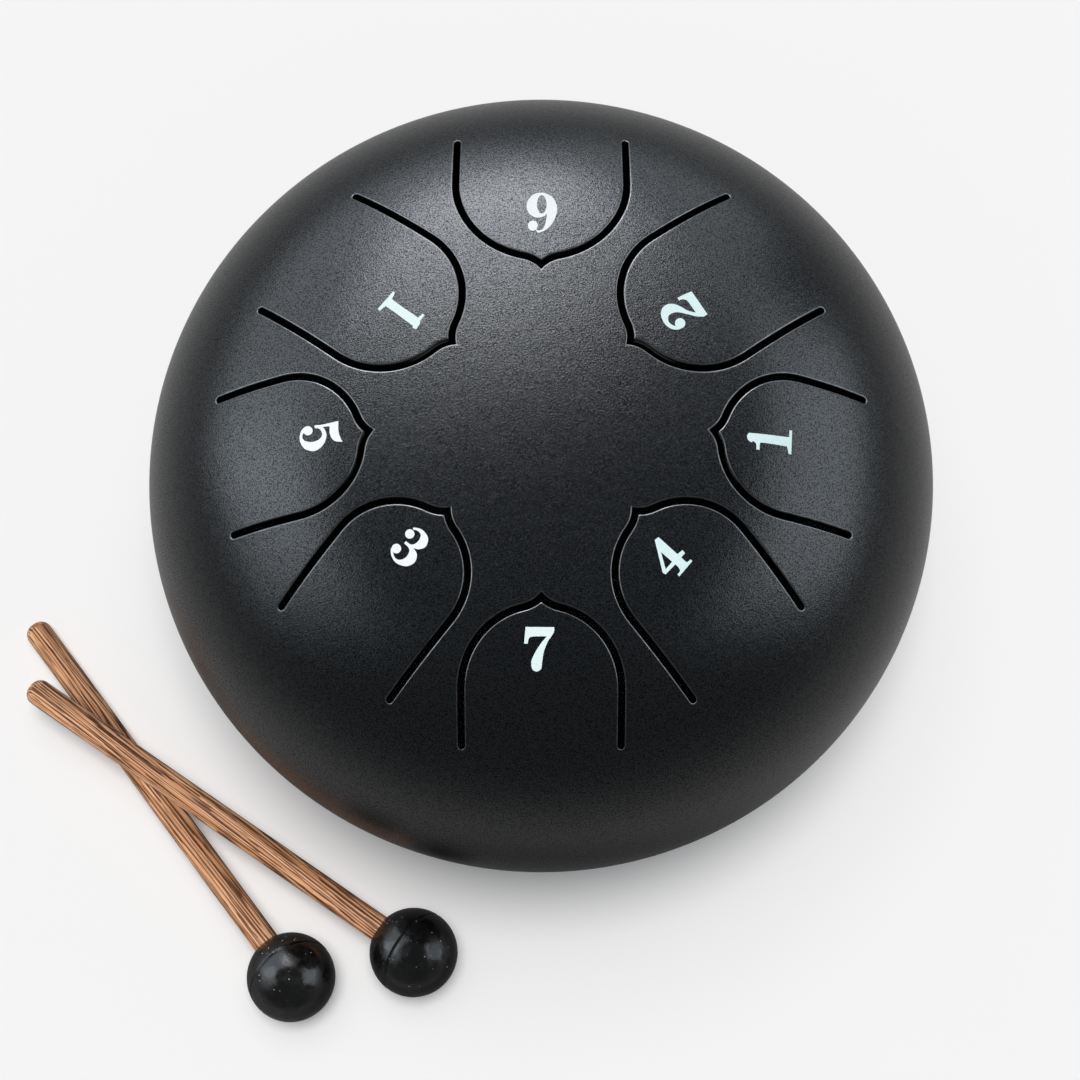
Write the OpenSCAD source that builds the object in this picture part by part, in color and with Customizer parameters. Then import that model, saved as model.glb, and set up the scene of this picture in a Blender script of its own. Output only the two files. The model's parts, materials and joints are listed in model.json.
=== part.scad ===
// Steel tongue drum with its two mallets.
// Two pressed steel halves make a closed shell. Eight tongues are cut into the upper half, and
// the lower half stands on three rubber feet round a sound hole.
// The origin is on the table under the middle of the drum, +Z is up and +Y points to the back.

/* [Drum shell] */
// Diameter of the drum at its widest line
drum_d = 155; // [145:1:175]
// Thickness of the steel sheet
wall = 1.8; // [1.2:0.1:2.2]
// Radius of the rounded shoulder above and below the widest line
shoulder_r = 48; // [44:1:54]
// Radius of the nearly flat crown
crown_r = 260; // [200:5:400]
// Depth of the lower half below the widest line
bowl_depth = 36; // [33:1:40]
// Radius of the heel between the shoulder and the flat base
heel_r = 24; // [18:1:28]
// Distance of the seam below the widest line
seam_drop = 5; // [4:0.5:8]
// Height of the lower half's lip inside the upper half
lip_h = 6; // [4:0.5:9]
// Height of the doubled band under the seam
joggle_h = 3; // [2:0.5:5]
// Gap between the lip and the upper half
lip_gap = 0.1; // [0.05:0.05:0.2]
// Width of the fine groove along the seam
seam_groove_w = 0.8; // [0.4:0.1:1.2]

/* [Tongues] */
// Width of the cut round each tongue
slot_w = 1.2; // [0.8:0.1:2]
// Radius of the hollow flare on each side of a tongue's tip
flare_r = 6.5; // [4:0.5:9]
// Angle between the edge at the tip and the tongue's axis
tip_angle = 45; // [40:1:60]
// Distance from the drum's axis to the back tongue's tip
back_tip = 27; // [24:0.5:30]
// Width of the back tongue
back_w = 31.6; // [28:0.2:34]
// Length of the back tongue
back_len = 28; // [24:0.5:31]
// Direction of the right rear tongue, from +X
rear_angle = 37; // [34:0.5:40]
// Distance from the drum's axis to a rear tongue's tip
rear_tip = 20; // [18:0.5:24]
// Width of a rear tongue
rear_w = 28.2; // [24:0.2:29]
// Length of a rear tongue
rear_len = 34; // [28:0.5:36]
// Direction of the right side tongue, from +X
side_angle = -8; // [-10:0.5:-6]
// Distance from the drum's axis to a side tongue's tip
side_tip = 31; // [28:0.5:34]
// Width of a side tongue
side_w = 25.8; // [22:0.2:27]
// Length of a side tongue
side_len = 26.8; // [22:0.5:30]
// Direction of the right fore tongue, from +X
fore_angle = -49.4; // [-51:0.2:-48]
// Distance from the drum's axis to a fore tongue's tip
fore_tip = 25.4; // [23:0.2:28]
// Width of a fore tongue
fore_w = 25.8; // [22:0.2:26.6]
// Length of a fore tongue
fore_len = 30.8; // [26:0.5:33]
// Distance from the drum's axis to the front tongue's tip
front_tip = 34.5; // [32:0.5:38]
// Width of the front tongue
front_w = 28.2; // [25:0.2:29]
// Length of the front tongue
front_len = 24.4; // [20:0.5:27]

/* [Sound hole] */
// Diameter of the hole in the steel base
sound_hole_d = 34; // [28:1:38]
// Wall of the rubber grommet inside the hole
grommet_wall = 2.2; // [1.5:0.1:3]
// Distance that the grommet's lips reach over the steel
grommet_lip = 2.4; // [1.5:0.1:3]
// Thickness of each lip
grommet_lip_t = 1.6; // [1.2:0.1:2.2]
// Gap between the grommet and the steel
grommet_fit = 0.05; // [0.02:0.01:0.1]

/* [Feet] */
// Height of a rubber foot
foot_h = 6; // [5.6:0.2:9]
// Diameter of a foot where it meets the base
foot_d = 17; // [14:0.5:19]
// Diameter of a foot at the table
foot_tip_d = 14; // [12.5:0.5:15]
// Rounding of a foot's lower edge
foot_round = 1; // [0.5:0.1:1.5]
// Rubber between the washer and the base
foot_web = 2.2; // [1.6:0.1:2.4]

/* [Fasteners] */
// Diameter of a screw's shank
screw_d = 3; // [2.5:0.5:3]
// Length of a screw under its head
screw_len = 8; // [7.6:0.1:10]
// Diameter of a screw's head
screw_head_d = 5.8; // [5.2:0.1:6.4]
// Height of a screw's head
screw_head_h = 2.1; // [1.8:0.1:2.4]
// Width of each arm of the cross in a screw's head
cross_w = 0.8; // [0.5:0.1:1]
// Width across a screw's cross
cross_span = 3; // [2:0.1:3.4]
// Depth of a screw's cross
cross_depth = 1.2; // [0.8:0.1:1.4]
// Diameter of a washer
washer_d = 7; // [6.6:0.1:8]
// Thickness of a washer
washer_t = 0.5; // [0.4:0.1:0.8]
// Width of a nut across its flats
nut_w = 5.5; // [5:0.1:6]
// Height of a nut
nut_h = 2.4; // [1.8:0.1:2.4]
// Gap between a screw and the holes that it passes through
hole_gap = 0.2; // [0.1:0.05:0.3]
// Gap between a screw and its nut, where the threads mesh
thread_gap = 0.05; // [0.02:0.01:0.08]
// Gap between a washer and the foot's pocket
pocket_gap = 0.3; // [0.1:0.05:0.5]

/* [Mallets] */
// Diameter of a rubber ball
ball_d = 18; // [16:0.5:21]
// Diameter of a wooden stick
stick_d = 5.5; // [5:0.1:7]
// Rounding of a stick's free end
stick_round = 2.2; // [1:0.1:2.4]
// Depth of the socket in a ball
socket_depth = 11; // [8:0.5:13]
// Gap between a stick and its socket
socket_fit = 0.05; // [0.02:0.01:0.1]
// Space left under a stick's end in its socket
socket_floor = 0.3; // [0.2:0.1:1]
// Width of the mould line round a ball
mould_line_w = 0.5; // [0.3:0.1:0.8]
// Length of the lower mallet from its ball's centre to its free end
lower_len = 94.7; // [90:0.5:130]
// Direction from the drum's axis to the lower mallet's ball, from +X
lower_bearing = -118; // [-120:1:-116]
// Gap between the drum and the lower mallet's ball, seen from above
lower_ball_gap = 22; // [21:0.5:28]
// Direction of the lower stick from its ball, from +X
lower_heading = 128; // [125:1:131]
// Tilt of the lower ball's mould line
lower_mould_tilt = 31; // [10:1:50]
// Length of the upper mallet from its ball's centre to its free end
upper_len = 97.6; // [90:0.5:130]
// Direction from the drum's axis to the upper mallet's ball, from +X
upper_bearing = -106; // [-108:1:-104]
// Gap between the drum and the upper mallet's ball, seen from above
upper_ball_gap = 8; // [5:0.5:10]
// Direction of the upper stick from its ball, from +X
upper_heading = 146; // [143:1:149]
// Tilt of the upper ball's mould line
upper_mould_tilt = 22; // [10:1:50]
// Gap between the two sticks where one lies on the other
cross_gap = 0.2; // [0.1:0.05:0.4]

/* [Hidden] */
$fn = 96;

// How far every cut runs past the surface that it leaves
overrun = 1;
// How far two arcs that follow each other lap over, so that they cross at a clean point
arc_lap = 0.02;

// Height of the drum's widest line above the table
widest_z = foot_h + bowl_depth;
// Centre of the shoulder's arc, out from the axis
shoulder_x = drum_d / 2 - shoulder_r;
// Angle that the crown's arc spans from the axis
crown_span = asin(shoulder_x / (crown_r - shoulder_r));
// Centre of the crown's arc, from the widest line
crown_z = -(crown_r - shoulder_r) * cos(crown_span);
dome_h = crown_z + crown_r - arc_lap;
// Where the crown passes into the shoulder, out from the axis
crown_edge_r = crown_r * sin(crown_span);
// Angle below the widest line where the shoulder passes into the heel
heel_turn = asin((bowl_depth - heel_r) / (shoulder_r - heel_r));
base_flat_r = shoulder_x + (shoulder_r - heel_r) * cos(heel_turn);
heel_z = heel_r - bowl_depth;
// Outside radius of the shell at the seam
seam_r = shoulder_x + sqrt(pow(shoulder_r, 2) - pow(seam_drop, 2));

// The feet stand half way between the grommet and the start of the heel
foot_ring_r = (base_flat_r + sound_hole_d / 2 + grommet_lip) / 2;
foot_angles = [-90, 30, 150];
washer_z = foot_h - foot_web - washer_t;
hole_d = screw_d + 2 * hole_gap;

// Each tongue: direction, distance of its tip, width and length
tongues = [
    [90, back_tip, back_w, back_len],
    [rear_angle, rear_tip, rear_w, rear_len],
    [side_angle, side_tip, side_w, side_len],
    [fore_angle, fore_tip, fore_w, fore_len],
    [-90, front_tip, front_w, front_len],
    [180 - fore_angle, fore_tip, fore_w, fore_len],
    [180 - side_angle, side_tip, side_w, side_len],
    [180 - rear_angle, rear_tip, rear_w, rear_len]
];

// A point at a distance from the axis in a given direction, seen from above
function polar(distance, angle) = distance * [cos(angle), sin(angle)];

// How far two lines in a plane run from their starts to where they cross: the first one's distance
function run_to_crossing(start, angle, other_start, other_angle) =
    let (offset = other_start - start)
    (offset.x * sin(other_angle) - offset.y * cos(other_angle)) / sin(other_angle - angle);

ball_r = ball_d / 2;
lower_ball = polar(drum_d / 2 + lower_ball_gap + ball_r, lower_bearing);
upper_ball = polar(drum_d / 2 + upper_ball_gap + ball_r, upper_bearing);

// The lower stick slopes down from its ball until its free end lies on the table
lower_reach = lower_len - stick_round;
lower_pitch = asin(ball_r / norm([lower_reach, stick_d / 2])) - atan(stick_d / 2 / lower_reach);

// The upper stick slopes up from its ball to lie across the lower one
lower_run = run_to_crossing(lower_ball, lower_heading, upper_ball, upper_heading);
upper_run = run_to_crossing(upper_ball, upper_heading, lower_ball, lower_heading);
cross_rise = (stick_d + cross_gap) / cos(lower_pitch) - lower_run * tan(lower_pitch);
upper_pitch = -atan(cross_rise / upper_run);

// Section through the shell, filled up to one face of the sheet: inset 0 gives its outside and
// inset wall its inside. The widest line is at height zero. Each arc bounds it on its own stretch.
module filled_section(inset) {
    intersection() {
        translate([0, crown_z])
        circle(r = crown_r - inset - arc_lap);
        union() {
            translate([shoulder_x, 0])
            circle(r = shoulder_r - inset);
            translate([0, -bowl_depth])
            square([crown_edge_r, bowl_depth + crown_r]);
        }
        union() {
            translate([base_flat_r, heel_z])
            circle(r = heel_r - inset + arc_lap);
            translate([0, -bowl_depth])
            square([base_flat_r, bowl_depth]);
            translate([base_flat_r, heel_z])
            rotate(-heel_turn)
            square([drum_d, drum_d]);
            translate([0, heel_z])
            square([drum_d, drum_d]);
        }
        translate([0, inset - bowl_depth])
        square([drum_d, drum_d]);
    }
}

// Section through both halves of the shell as one sheet
module skin_section() {
    difference() {
        filled_section(0);
        filled_section(wall);
    }
}

// A band inside the shoulder, between two distances from its outside
module shoulder_band(near, far) {
    translate([shoulder_x, 0])
    intersection() {
        difference() {
            circle(r = shoulder_r - near);
            circle(r = shoulder_r - far);
        }
        translate([0, -shoulder_r])
        square([shoulder_r, 2 * shoulder_r]);
    }
}

// The part of a section that lies between two heights
module between(low, high) {
    intersection() {
        children();
        translate([0, low])
        square([drum_d, high - low]);
    }
}

// The sheet doubles inwards under the seam and rises as a lip inside the upper half
module lip_section() {
    inside = 2 * wall + lip_gap;
    between(-seam_drop - joggle_h, -seam_drop)
    shoulder_band(wall / 2, inside);
    between(-seam_drop, lip_h - seam_drop)
    shoulder_band(wall + lip_gap, inside);
}

// The groove that marks the seam, half of it in each half of the shell
module seam_groove() {
    translate([seam_r, -seam_drop])
    rotate(45)
    square(seam_groove_w / sqrt(2), center = true);
}

// A tongue's outline seen from above, grown by a given distance, with its tip at the origin and the
// tongue along +X: a round nose, straight sides, and a pointed tip between two hollow flares
module tongue_outline(half_w, reach, grow) {
    flare_turn = asin(flare_r * sin(tip_angle) / (half_w + flare_r));
    nose_x = (half_w + flare_r) * cos(flare_turn) - flare_r * cos(tip_angle);
    flare = flare_r * [-cos(tip_angle), sin(tip_angle)];
    difference() {
        union() {
            translate([nose_x, 0])
            circle(r = half_w + grow);
            translate([nose_x, arc_lap - half_w - grow])
            square([reach - nose_x, 2 * (half_w + grow - arc_lap)]);
            polygon([flare, [nose_x, 0], [flare.x, -flare.y]]);
        }
        for (side = [-1, 1])
            translate([flare.x, side * flare.y])
            circle(r = flare_r - grow + arc_lap);
    }
}

// The cut round a tongue: a strip along its outline with a round end on each leg
module slot_outline(half_w, length) {
    difference() {
        tongue_outline(half_w, length + overrun, slot_w / 2);
        tongue_outline(half_w, length + overrun, -slot_w / 2);
        translate([length, -half_w - slot_w])
        square(2 * (half_w + slot_w));
    }
    for (side = [-1, 1])
        translate([length, side * (half_w - arc_lap)])
        circle(d = slot_w);
}

module tongue_slots() {
    linear_extrude(height = dome_h + overrun)
    for (tongue = tongues)
        rotate(tongue[0])
        translate([tongue[1], 0])
        slot_outline(tongue[2] / 2, tongue[3]);
}

module upper_shell() {
    color("#2d2f34")
    translate([0, 0, widest_z])
    difference() {
        rotate_extrude($fn = 180)
        difference() {
            between(-seam_drop, dome_h + overrun)
            skin_section();
            seam_groove();
        }
        tongue_slots();
    }
}

module lower_shell() {
    color("#2d2f34")
    difference() {
        translate([0, 0, widest_z])
        rotate_extrude($fn = 180)
        difference() {
            union() {
                between(-bowl_depth, -seam_drop)
                skin_section();
                lip_section();
            }
            seam_groove();
        }
        translate([0, 0, foot_h - overrun])
        cylinder(d = sound_hole_d, h = wall + 2 * overrun);
        at_feet()
        translate([0, 0, foot_h - overrun])
        cylinder(d = hole_d, h = wall + 2 * overrun);
    }
}

// A rubber ring with a lip on each side of the steel base
module sound_hole_grommet() {
    tube_r = sound_hole_d / 2 - grommet_fit;
    bore_r = tube_r - grommet_wall;
    lip_r = sound_hole_d / 2 + grommet_lip - grommet_lip_t / 2;
    color("#18191a")
    translate([0, 0, foot_h + wall / 2])
    rotate_extrude()
    for (side = [0, 1])
        mirror([0, side]) {
            translate([bore_r, 0])
            square([grommet_wall, wall / 2 + grommet_fit]);
            translate([bore_r, wall / 2 + grommet_fit])
            square([lip_r - bore_r, grommet_lip_t]);
            translate([lip_r, wall / 2 + grommet_fit + grommet_lip_t / 2])
            circle(d = grommet_lip_t);
        }
}

// The children at each of the three feet
module at_feet(angles = foot_angles) {
    for (angle = angles)
        translate(polar(foot_ring_r, angle))
        children();
}

// A tapered rubber foot with a pocket for the screw's head and the washer
module foot() {
    corner = [foot_tip_d / 2 - foot_round, foot_round];
    slope_run = [foot_d / 2, foot_h] - corner;
    lean = acos(foot_round / norm(slope_run)) - atan2(slope_run.y, slope_run.x);
    difference() {
        rotate_extrude() {
            polygon([[0, 0], [corner.x, 0], corner, corner + polar(foot_round, -lean),
                     [foot_d / 2, foot_h], [0, foot_h]]);
            translate(corner)
            circle(r = foot_round);
        }
        translate([0, 0, -overrun])
        cylinder(d = hole_d, h = foot_h + 2 * overrun);
        translate([0, 0, -overrun])
        cylinder(d = washer_d + 2 * pocket_gap, h = foot_h - foot_web + overrun);
    }
}

module foot_front() {
    color("#18191a")
    at_feet([foot_angles[0]])
    foot();
}

module foot_back_right() {
    color("#18191a")
    at_feet([foot_angles[1]])
    foot();
}

module foot_back_left() {
    color("#18191a")
    at_feet([foot_angles[2]])
    foot();
}

module foot_washers() {
    color("#b9bcc0")
    at_feet()
    translate([0, 0, washer_z])
    difference() {
        cylinder(d = washer_d, h = washer_t);
        translate([0, 0, -overrun])
        cylinder(d = hole_d, h = washer_t + 2 * overrun);
    }
}

// A pan head machine screw, head down, with its head against the washer
module foot_screw() {
    head_round = screw_head_h / 2;
    translate([0, 0, -screw_head_h])
    difference() {
        rotate_extrude() {
            square([screw_head_d / 2 - head_round, screw_head_h]);
            translate([0, head_round])
            square([screw_head_d / 2, screw_head_h - head_round]);
            translate([screw_head_d / 2 - head_round, head_round])
            circle(r = head_round);
            square([screw_d / 2, screw_head_h + screw_len]);
        }
        for (angle = [0, 90])
            rotate(angle)
            translate([-cross_span / 2, -cross_w / 2, -overrun])
            cube([cross_span, cross_w, cross_depth + overrun]);
    }
}

module foot_screws() {
    color("#b9bcc0")
    at_feet()
    translate([0, 0, washer_z])
    foot_screw();
}

module foot_nuts() {
    color("#b9bcc0")
    at_feet()
    translate([0, 0, foot_h + wall])
    difference() {
        cylinder(d = nut_w / cos(30), h = nut_h, $fn = 6);
        translate([0, 0, -overrun])
        cylinder(d = screw_d + 2 * thread_gap, h = nut_h + 2 * overrun);
    }
}

// A mallet's frame: the ball's centre at the origin and the stick along +X
module at_mallet(ball, heading, pitch) {
    translate([ball.x, ball.y, ball_r])
    rotate([0, pitch, heading])
    children();
}

module mallet_stick(length) {
    inner_end = ball_r - socket_depth;
    rotate([0, 90, 0])
    rotate_extrude() {
        translate([0, inner_end])
        square([stick_d / 2, length - stick_round - inner_end]);
        translate([0, inner_end])
        square([stick_d / 2 - stick_round, length - inner_end]);
        between(length - stick_round, length)
        translate([stick_d / 2 - stick_round, length - stick_round])
        circle(r = stick_round);
    }
}

module mallet_ball(mould_tilt) {
    socket_start = ball_r - socket_depth - socket_floor;
    difference() {
        sphere(d = ball_d);
        rotate([0, 90 + mould_tilt, 0])
        rotate_extrude()
        translate([ball_r, 0])
        circle(d = mould_line_w, $fn = 24);
        translate([socket_start, 0, 0])
        rotate([0, 90, 0])
        cylinder(d = stick_d + 2 * socket_fit, h = ball_r - socket_start + overrun);
    }
}

module lower_mallet_stick() {
    color("#c08a5c")
    at_mallet(lower_ball, lower_heading, lower_pitch)
    mallet_stick(lower_len);
}

module lower_mallet_ball() {
    color("#1b1b1c")
    at_mallet(lower_ball, lower_heading, lower_pitch)
    mallet_ball(lower_mould_tilt);
}

module upper_mallet_stick() {
    color("#c08a5c")
    at_mallet(upper_ball, upper_heading, upper_pitch)
    mallet_stick(upper_len);
}

module upper_mallet_ball() {
    color("#1b1b1c")
    at_mallet(upper_ball, upper_heading, upper_pitch)
    mallet_ball(upper_mould_tilt);
}

upper_shell();
lower_shell();
sound_hole_grommet();
foot_front();
foot_back_left();
foot_back_right();
foot_washers();
foot_screws();
foot_nuts();
lower_mallet_stick();
lower_mallet_ball();
upper_mallet_stick();
upper_mallet_ball();
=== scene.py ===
# %% [markdown]
# A steel tongue drum with its two mallets
#
# Two pressed steel halves make a closed shell. Eight tongues are cut into the upper half, and each
# gives a note when a mallet strikes it. The solid parts come from the CAD model, which is loaded
# first and is never moved. This script gives them their looks: smooth surfaces, soft edges on the
# cuts, powder coat, rubber, wood grain, vinyl figures, and the light of a small studio.

import json
from dataclasses import dataclass
from math import acos, asin, atan, atan2, cos, degrees, exp, hypot, pi, radians, sin, sqrt, tan, tau

import bpy
from mathutils import Matrix, Vector, geometry, kdtree

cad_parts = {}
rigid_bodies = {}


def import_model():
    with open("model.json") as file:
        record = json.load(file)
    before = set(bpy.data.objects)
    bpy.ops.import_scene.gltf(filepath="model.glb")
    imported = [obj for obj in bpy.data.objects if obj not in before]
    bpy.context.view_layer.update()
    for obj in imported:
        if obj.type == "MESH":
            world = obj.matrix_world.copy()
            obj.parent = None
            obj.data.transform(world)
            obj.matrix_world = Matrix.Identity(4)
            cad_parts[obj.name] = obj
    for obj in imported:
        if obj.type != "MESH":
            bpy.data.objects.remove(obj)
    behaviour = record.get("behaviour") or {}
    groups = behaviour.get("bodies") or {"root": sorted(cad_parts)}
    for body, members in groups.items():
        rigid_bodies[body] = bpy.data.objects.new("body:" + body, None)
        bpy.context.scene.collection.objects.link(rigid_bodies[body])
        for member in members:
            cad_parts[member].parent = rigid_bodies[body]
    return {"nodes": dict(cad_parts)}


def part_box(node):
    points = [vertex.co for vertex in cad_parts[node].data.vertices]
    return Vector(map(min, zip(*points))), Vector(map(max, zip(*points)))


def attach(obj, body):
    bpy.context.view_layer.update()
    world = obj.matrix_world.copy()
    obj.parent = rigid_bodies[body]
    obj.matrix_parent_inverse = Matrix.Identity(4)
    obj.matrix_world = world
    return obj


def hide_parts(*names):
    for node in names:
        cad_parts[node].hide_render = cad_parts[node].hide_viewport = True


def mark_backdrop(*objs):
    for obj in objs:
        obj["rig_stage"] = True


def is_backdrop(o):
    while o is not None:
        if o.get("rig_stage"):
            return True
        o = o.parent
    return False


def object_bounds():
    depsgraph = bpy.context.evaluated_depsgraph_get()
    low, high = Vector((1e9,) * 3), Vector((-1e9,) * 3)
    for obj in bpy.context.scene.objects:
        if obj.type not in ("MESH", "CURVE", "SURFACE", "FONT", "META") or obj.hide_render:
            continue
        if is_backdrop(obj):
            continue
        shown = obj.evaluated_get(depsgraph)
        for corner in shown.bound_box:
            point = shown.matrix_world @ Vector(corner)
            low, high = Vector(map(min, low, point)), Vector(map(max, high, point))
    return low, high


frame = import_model()
cad_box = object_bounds()
scene = bpy.context.scene
MM = 0.001
print("solid parts:", ", ".join(sorted(frame["nodes"])))

# %% [markdown]
# The sizes of the drum
#
# These are the sizes that the solid model was built from, in millimetres. Only the crown's radius
# is 2 mm larger here, which gives the same height, because the solid model's crown lies 0.02 mm
# lower than its own arc. The shell's section is a chain of arcs that flow into each other: a nearly
# flat crown, a round shoulder, a tighter heel and a flat base. Heights in the section are measured
# from the drum's widest line.

# %% Sizes of the shell
DRUM_D = 155.0
WALL = 1.8
SHOULDER_R = 48.0
CROWN_R = 262.0
BOWL_DEPTH = 36.0
HEEL_R = 24.0
FOOT_H = 6.0
SEAM_DROP = 5.0
LIP_H = 6.0
JOGGLE_H = 3.0
LIP_GAP = 0.1
SEAM_CHAMFER = 0.4

WIDEST_Z = FOOT_H + BOWL_DEPTH
SHOULDER_X = DRUM_D / 2 - SHOULDER_R
CROWN_SPAN = asin(SHOULDER_X / (CROWN_R - SHOULDER_R))
CROWN_Z = -(CROWN_R - SHOULDER_R) * cos(CROWN_SPAN)
CROWN_EDGE_R = CROWN_R * sin(CROWN_SPAN)
HEEL_TURN = degrees(asin((BOWL_DEPTH - HEEL_R) / (SHOULDER_R - HEEL_R)))
BASE_FLAT_R = SHOULDER_X + (SHOULDER_R - HEEL_R) * cos(radians(HEEL_TURN))
HEEL_Z = HEEL_R - BOWL_DEPTH


def dome_height(distance, inset=0.0):
    """Height of the dome above the widest line, at a distance from the drum's axis."""
    if distance < CROWN_EDGE_R:
        return CROWN_Z + sqrt((CROWN_R - inset) ** 2 - distance ** 2)
    return sqrt((SHOULDER_R - inset) ** 2 - (distance - SHOULDER_X) ** 2)


def polar(distance, turn):
    return Vector((distance * cos(radians(turn)), distance * sin(radians(turn))))


def circle(radius, steps):
    return [polar(radius, 360 * step / steps) for step in range(steps)]


def arc(centre, radius, start, end, steps):
    """Points along an arc, with the angles in degrees, both ends included."""
    turns = [start + (end - start) * step / steps for step in range(steps + 1)]
    return [Vector(centre) + polar(radius, turn) for turn in turns]


def level_turn(radius, height):
    """The angle on a shoulder arc of this radius where it is at a height."""
    return degrees(asin(height / radius))


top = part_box("upper_shell")[1].z / MM
print(f"crown {WIDEST_Z + dome_height(0):.3f} mm high, solid part {top:.3f} mm high")

# %% [markdown]
# Writing networks of nodes as sums
#
# Materials and shapes that follow a rule are networks of nodes. Here a node's output is wrapped in a
# small class, so that ordinary arithmetic adds the Math nodes. All other nodes come from one method,
# which sets a node's options first and its inputs after that.

# %% Values that can be added and multiplied
class Value:
    """The output of a node, which can be used in a sum."""

    def __init__(self, network, socket):
        self.network = network
        self.socket = socket

    def maths(self, operation, first, second=0.0):
        return self.network.node("ShaderNodeMath", {"operation": operation}, {0: first, 1: second})

    def __add__(self, other):
        return self.maths("ADD", self, other)

    def __sub__(self, other):
        return self.maths("SUBTRACT", self, other)

    def __rsub__(self, other):
        return self.maths("SUBTRACT", other, self)

    def __mul__(self, other):
        return self.maths("MULTIPLY", self, other)

    def __truediv__(self, other):
        return self.maths("DIVIDE", self, other)

    def __mod__(self, other):
        return self.maths("MODULO", self, other)

    __radd__ = __add__
    __rmul__ = __mul__

    def above(self, low, high):
        """Nothing below low, one above high, and a smooth rise between them."""
        settings = {"interpolation_type": "SMOOTHSTEP"}
        inputs = {"Value": self, "From Min": low, "From Max": high}
        return self.network.node("ShaderNodeMapRange", settings, inputs)


class Network:
    """A tree of nodes."""

    def __init__(self, tree):
        self.tree = tree

    def node(self, kind, settings=None, inputs=None, output=0):
        added = self.tree.nodes.new(kind)
        for key, setting in (settings or {}).items():
            setattr(added, key, setting)
        for key, given in (inputs or {}).items():
            if isinstance(given, Value):
                self.tree.links.new(given.socket, added.inputs[key])
            else:
                added.inputs[key].default_value = given
        return Value(self, added.outputs[output]) if added.outputs else None

# %% [markdown]
# Materials
#
# Each material works in the object's own coordinates, so its pattern has a real size in millimetres.
# A noise is mostly between 0.3 and 0.7, so above() picks its spots with limits in that range.

# %% Material networks
MIX_FACTOR, MIX_FIRST, MIX_SECOND, MIX_RESULT = 0, 6, 7, 2


def grey(tone):
    return (tone, tone, tone)


def full(colour):
    """A colour of three shares gets its fourth, and anything else is passed on."""
    return (*colour, 1.0) if isinstance(colour, tuple) and len(colour) == 3 else colour


class Finish(Network):
    """One material. Nodes are added by node(), and surface() ends it."""

    def __init__(self, name):
        self.material = bpy.data.materials.new(name)
        self.material.use_nodes = True
        super().__init__(self.material.node_tree)
        self.tree.nodes.clear()
        self.where = self.node("ShaderNodeTexCoord", output="Object")

    def noise(self, size_mm, detail=2.0, roughness=0.5, where=None):
        inputs = {"Vector": where or self.where, "Scale": 1 / (size_mm * MM), "Detail": detail,
                  "Roughness": roughness}
        return self.node("ShaderNodeTexNoise", {"noise_dimensions": "3D"}, inputs)

    def mix(self, factor, first, second):
        """A colour between two others. The node's sockets share their names, so they have numbers."""
        inputs = {MIX_FACTOR: factor, MIX_FIRST: full(first), MIX_SECOND: full(second)}
        return self.node("ShaderNodeMix", {"data_type": "RGBA"}, inputs, MIX_RESULT)

    def bump(self, height, depth_mm, strength, over=None):
        inputs = {"Height": height, "Distance": depth_mm * MM, "Strength": strength}
        if over:
            inputs["Normal"] = over
        return self.node("ShaderNodeBump", {}, inputs)

    def surface(self, colour, roughness, normal=None, metal=0.0, shine=0.5, glow=grey(1.0), power=0.0):
        inputs = {"Base Color": full(colour), "Roughness": roughness, "Metallic": metal,
                  "Specular IOR Level": shine, "Emission Color": full(glow), "Emission Strength": power}
        if normal:
            inputs["Normal"] = normal
        shader = self.node("ShaderNodeBsdfPrincipled", {}, inputs)
        self.node("ShaderNodeOutputMaterial", {}, {"Surface": shader})
        return self.material

# %% [markdown]
# The powder coat
#
# The shell is sprayed with a dry black powder and baked. The grains melt into a film with a fine
# leathery texture over a broader, softer unevenness like orange peel. The colour is a slightly blue
# charcoal. Real grains differ a little in gloss, so the roughness varies with them. Fine pits between
# the grains swallow light. A metal of so dark a colour reflects next to nothing, so a share of metal
# makes the pits.

# %% Powder coat
COAT_DARK = (0.0026, 0.0031, 0.0038)
COAT_LIGHT = (0.0044, 0.0052, 0.0062)
COAT_ROUGHNESS = 0.245
GRAIN_MM, GRAIN_DEPTH, GRAIN_GLOSS = 0.31, 0.065, 0.14
PEEL_MM, PEEL_DEPTH = 2.6, 0.06
CLOUD_MM, CLOUD_GLOSS = 14.0, 0.06
PIT_MM, PIT_METAL = 0.25, 0.7
THIN_COAT_DARK, THIN_COAT_LIGHT = grey(0.10), grey(0.17)
THIN_COAT_MM = 1.2


def powder_coat():
    coat = Finish("Powder coat")
    grain = coat.noise(GRAIN_MM, detail=2.0, roughness=0.6)
    peel = coat.noise(PEEL_MM, detail=1.0)
    clouds = coat.noise(CLOUD_MM)
    pits = coat.noise(PIT_MM, detail=1.0).above(0.46, 0.62)
    fine = coat.bump(grain, GRAIN_DEPTH, strength=0.8)
    high = grain.above(0.36, 0.64)
    roughness = COAT_ROUGHNESS + GRAIN_GLOSS * (0.5 - high) + CLOUD_GLOSS * (clouds - 0.5)
    colour = coat.mix(high, COAT_DARK, COAT_LIGHT)
    normal = coat.bump(peel, PEEL_DEPTH, strength=0.5, over=fine)
    return coat.surface(colour, roughness, normal, metal=PIT_METAL * pits, shine=0.65)


def bared_edge():
    """Along the outer edges of the cuts the powder is thin, and the steel under it gleams through."""
    edge = Finish("Thin coat on edges")
    wear = edge.noise(THIN_COAT_MM, detail=3.0, roughness=0.6)
    colour = edge.mix(wear.above(0.3, 0.7), THIN_COAT_DARK, THIN_COAT_LIGHT)
    return edge.surface(colour, 0.25 + 0.1 * wear, metal=1.0)


coat = powder_coat()
edge_coat = bared_edge()
print(f"coat: grains {GRAIN_MM} mm, orange peel {PEEL_MM} mm")

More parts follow.
